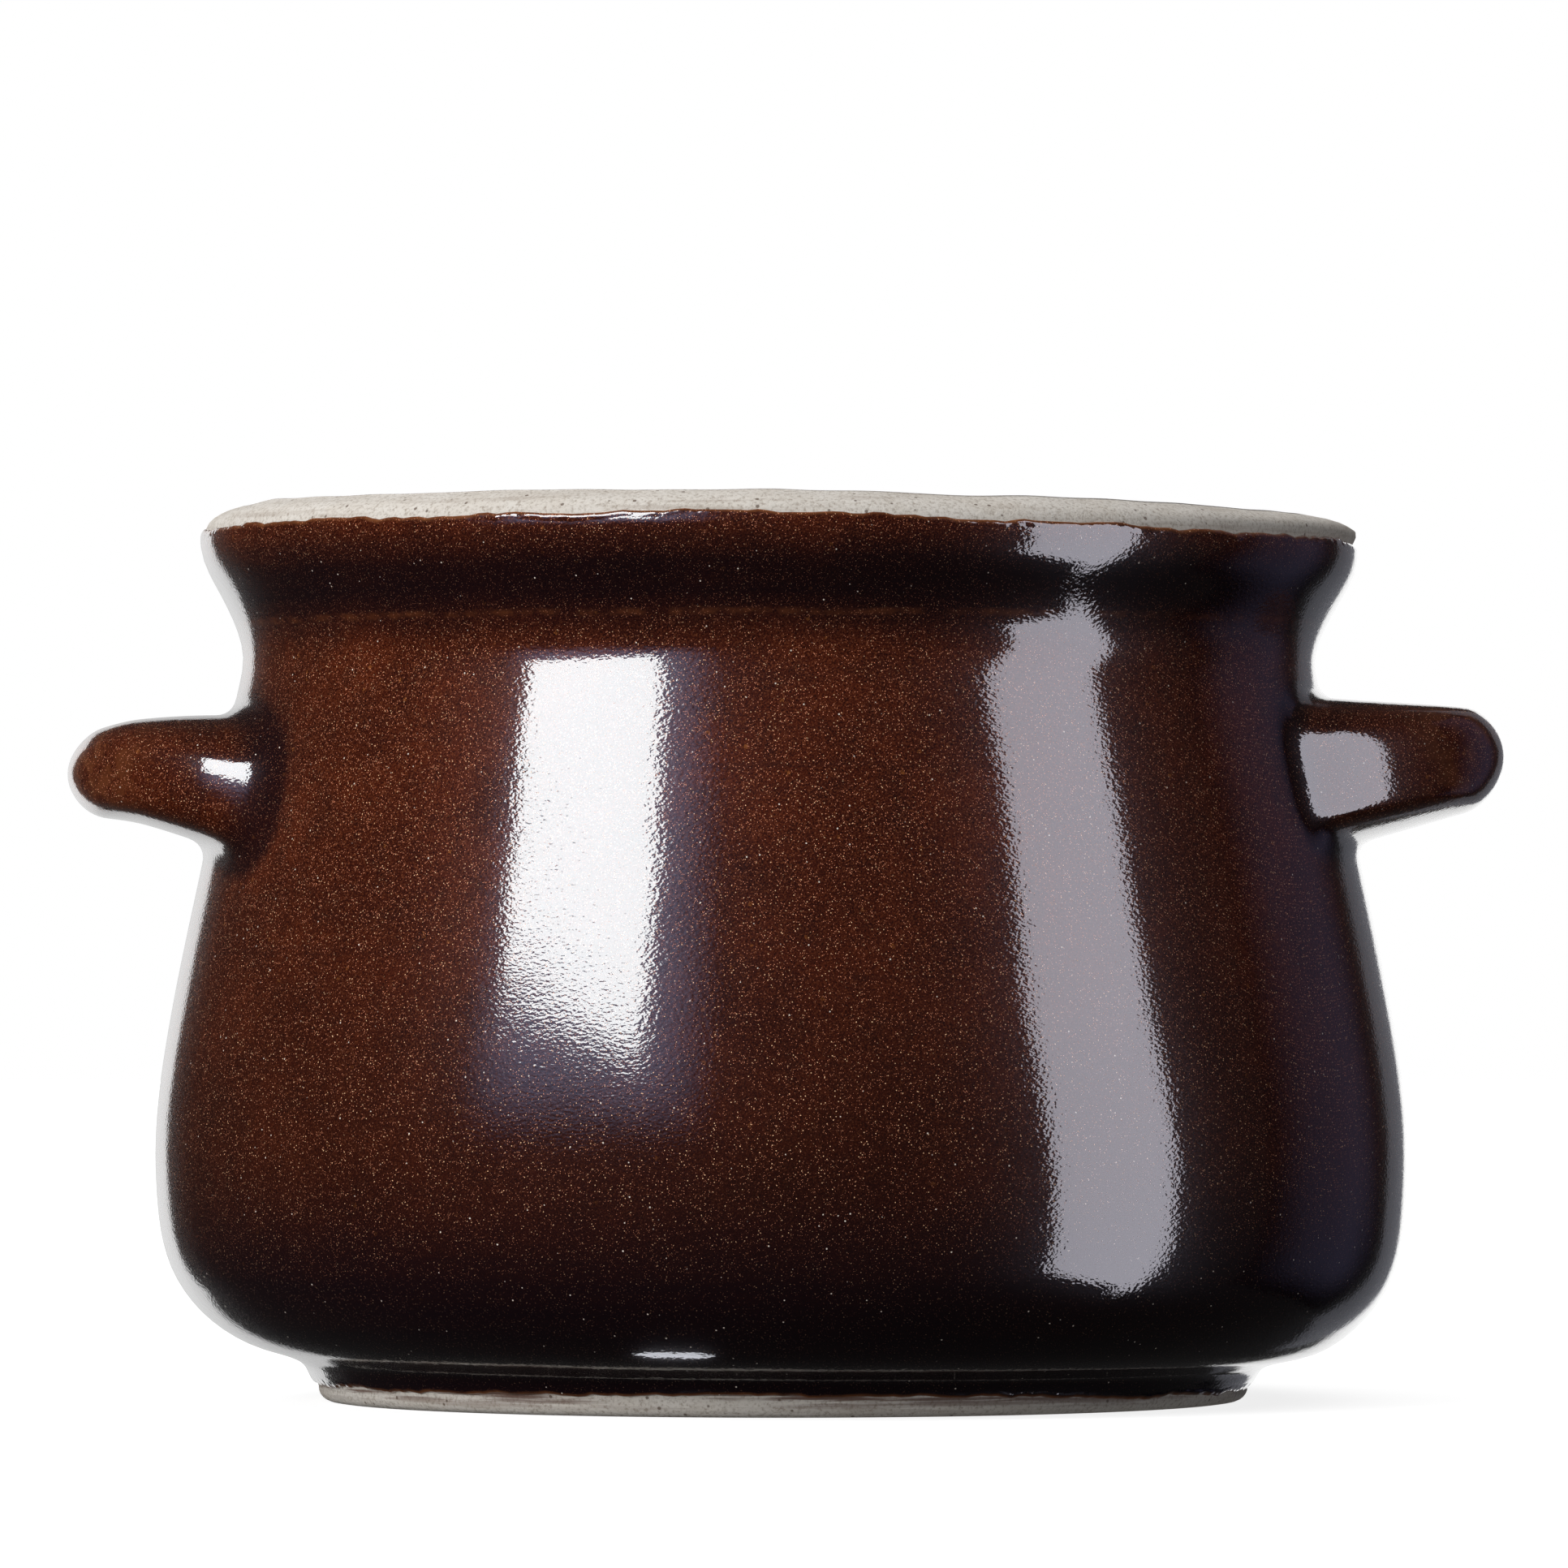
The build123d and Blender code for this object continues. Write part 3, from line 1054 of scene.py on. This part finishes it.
# Studio, in metres and degrees. Azimuths are measured to the right of the front.
floor_half_width = 4.0
floor_glow = 0.82
floor_grey = 0.42
window = ((-0.275, 0.402), (0.235, 0.336), (0.265, 1.05), (-0.37, 1.05))
strip = ((-0.159, -0.49), (0.19, -0.66), (0.235, -0.84), (0.283, -0.71), (0.159, 0.95), (-0.283, 0.95))
window_tint = (0.98, 1.02, 1.04)
halo_tint = (0.78, 0.98, 1.65)
strip_tint = (0.95, 0.93, 1.05)
side_tint = (0.87, 0.83, 1.45)
edge_tint = (0.95, 0.97, 1.1)
glint_level = 0.0004
glint_near = 0.0706
glint_middle = 0.0718
glint_far = 0.073
glint_azimuth = -12.0
glint_half_end = 2.5
glint_half_middle = 5.0
glint_strength = 5.0
glint_tint = colour(0.95, 0.97, 1.05)
sky_start = 0.2
sky_end = 0.9
sky_dim = 0.02
sky_bright = 0.95
camera_distance = 1.5497
camera_height = 0.0611
camera_aim = (0.00067, 0.0, 0.0851)
camera_sensor = 36.0
camera_lens = 257.1


def flat_piece(name, corners, material):
    """A flat sheet of the studio."""
    mesh = bpy.data.meshes.new(name)
    mesh.from_pydata([tuple(corner) for corner in corners], [], [tuple(range(len(corners)))])
    mesh.materials.append(material)
    sheet = bpy.data.objects.new(name, mesh)
    bpy.context.scene.collection.objects.link(sheet)
    return sheet


def floor_material():
    """White floor that still takes the pot's shadow."""
    material = bpy.data.materials.new("pale_floor")
    nodes = Nodes(material)
    seen = nodes.add("ShaderNodeLightPath")
    shown = nodes.calc("MAXIMUM", seen.outputs["Is Camera Ray"], seen.outputs["Is Glossy Ray"])
    shown = nodes.calc("MAXIMUM", shown, seen.outputs["Is Transmission Ray"])
    glow = nodes.add("ShaderNodeEmission", {"Strength": nodes.product(shown, floor_glow)})
    matt = nodes.add("ShaderNodeBsdfDiffuse", {"Color": colour(floor_grey, floor_grey, floor_grey)})
    both = nodes.add("ShaderNodeAddShader")
    nodes.put(both.inputs[0], glow.outputs[0])
    nodes.put(both.inputs[1], matt.outputs[0])
    nodes.surface(both)
    return material


def make_floor():
    """The floor, which neither lights the pot nor shows in its gloss."""
    half = floor_half_width
    corners = ((-half, -half, 0), (half, -half, 0), (half, half, 0), (-half, half, 0))
    floor = flat_piece("floor", corners, floor_material())
    floor.visible_diffuse = False
    floor.visible_glossy = False
    floor.visible_shadow = False


def unseen_sheet(name, corners, material):
    """A glowing sheet that only shows mirrored in the gloss."""
    sheet = flat_piece(name, corners, material)
    sheet.visible_camera = False
    sheet.visible_diffuse = False
    sheet.visible_shadow = False
    return sheet


def card(name, azimuth, distance, corners, strength, tint=(1, 1, 1), gain=0.0, fade=0.0):
    """A glowing upright card for the gloss to mirror.

    Corners are places across the card and heights. Gain brightens it to both sides, and fade dims its
    two sides and its lower end.
    """
    material = bpy.data.materials.new(name)
    nodes = Nodes(material)
    place = nodes.add("ShaderNodeTexCoord").outputs["Object"]
    parts = nodes.add("ShaderNodeSeparateXYZ", {"Vector": place})
    aside = nodes.calc("ABSOLUTE", parts.outputs["X"])
    power = nodes.calc("ADD", nodes.product(aside, gain), strength)
    if fade:
        side = max(across for across, height in corners)
        low = min(height for across, height in corners)
        power = nodes.product(power, nodes.rise(aside, side, side - fade))
        power = nodes.product(power, nodes.rise(parts.outputs["Z"], low, low + fade))
    glow = nodes.add("ShaderNodeEmission", {"Color": colour(*tint), "Strength": power})
    nodes.surface(glow)
    sheet = unseen_sheet(name, [(across, 0, height) for across, height in corners], material)
    turn = math.radians(azimuth)
    sheet.location = (math.sin(turn) * distance, -math.cos(turn) * distance, 0)
    sheet.rotation_euler = (0, 0, turn)


def upright(half_width, low, high):
    """The corners of a card with upright sides."""
    return ((-half_width, low), (half_width, low), (half_width, high), (-half_width, high))


def table_glint():
    """A lit patch of the table under the bowl, which the gloss mirrors just above the foot."""
    outline = (
        (glint_near, -glint_half_end),
        (glint_near, glint_half_end),
        (glint_middle, glint_half_middle),
        (glint_far, glint_half_end),
        (glint_far, -glint_half_end),
        (glint_middle, -glint_half_middle),
    )
    corners = []
    for radius, aside in outline:
        turn = math.radians(glint_azimuth + aside)
        corners.append((radius * math.sin(turn), -radius * math.cos(turn), glint_level))
    material = bpy.data.materials.new("table_glint")
    nodes = Nodes(material)
    glow = nodes.add("ShaderNodeEmission", {"Color": glint_tint, "Strength": glint_strength})
    nodes.surface(glow)
    unseen_sheet("table_glint", corners, material)


def soft_sun(name, energy, spread, azimuth, rise):
    """A wide distant light that shapes the colours and leaves no glint in the gloss."""
    lamp = bpy.data.lights.new(name, "SUN")
    lamp.energy = energy
    lamp.angle = math.radians(spread)
    sun = bpy.data.objects.new(name, lamp)
    turn = math.radians(azimuth)
    light_from = Vector((math.sin(turn), -math.cos(turn), rise))
    sun.rotation_euler = light_from.to_track_quat("Z", "Y").to_euler()
    sun.visible_glossy = False
    bpy.context.scene.collection.objects.link(sun)


def make_lamps():
    """A soft key and the light that the table throws back."""
    soft_sun("soft_key", energy=3.0, spread=40, azimuth=-54, rise=0.38)
    soft_sun("table_bounce", energy=0.5, spread=80, azimuth=-15, rise=-0.6)


def make_cards():
    """Cards for the reflections in the glaze: a window, a tall opening, the room and the backdrop."""
    halo = upright(half_width=0.5, low=0.08, high=1.2)
    side = upright(half_width=0.4, low=-0.5, high=0.9)
    edge = upright(half_width=0.1585, low=-0.5, high=0.9)
    backdrop = upright(half_width=0.54, low=-0.36, high=0.4)
    card("window_card", azimuth=-38.4, distance=1.0, corners=window, strength=20.4, tint=window_tint)
    card("halo_card", azimuth=-36.0, distance=1.06, corners=halo, strength=1.2, tint=halo_tint, fade=0.3)
    card("strip_card", azimuth=59.7, distance=0.99, corners=strip, strength=6.6, tint=strip_tint)
    card("side_card", azimuth=118, distance=1.0, corners=side, strength=0.1, tint=side_tint, fade=0.3)
    card("edge_card", azimuth=152.2, distance=1.1, corners=edge, strength=0.19, tint=edge_tint)
    card("backdrop_card", azimuth=184.6, distance=1.2, corners=backdrop, strength=0.55, gain=1.8)


def make_world():
    """White behind the pot for the camera, and a dim, mostly dark studio for the gloss."""
    world = bpy.data.worlds.new("studio")
    bpy.context.scene.world = world
    nodes = Nodes(world)
    direction = nodes.add("ShaderNodeTexCoord").outputs["Generated"]
    parts = nodes.add("ShaderNodeSeparateXYZ", {"Vector": direction})
    seen = nodes.add("ShaderNodeLightPath")
    shown = nodes.calc("MAXIMUM", seen.outputs["Is Camera Ray"], seen.outputs["Is Transmission Ray"])
    above = nodes.rise(parts.outputs["Z"], sky_start, sky_end, sky_dim, sky_bright)
    dim = nodes.product(above, nodes.calc("SUBTRACT", 1.0, seen.outputs["Is Glossy Ray"]))
    strength = nodes.calc("MAXIMUM", shown, nodes.calc("ADD", dim, sky_dim))
    glow = nodes.add("ShaderNodeBackground", {"Color": colour(1, 1, 1), "Strength": strength})
    nodes.add("ShaderNodeOutputWorld", {"Surface": glow.outputs[0]})


def make_camera():
    """The photograph's view: from half the pot's height, looking a little up."""
    camera_data = bpy.data.cameras.new("camera")
    camera_data.sensor_width = camera_sensor
    camera_data.lens = camera_lens
    camera = bpy.data.objects.new("camera", camera_data)
    camera.location = (0.0, -camera_distance, camera_height)
    aim = Vector(camera_aim)
    camera.rotation_euler = (aim - camera.location).to_track_quat("-Z", "Y").to_euler()
    bpy.context.scene.collection.objects.link(camera)
    bpy.context.scene.camera = camera


make_floor()
make_lamps()
make_cards()
table_glint()
make_world()
make_camera()
bpy.context.scene.view_settings.view_transform = "Standard"
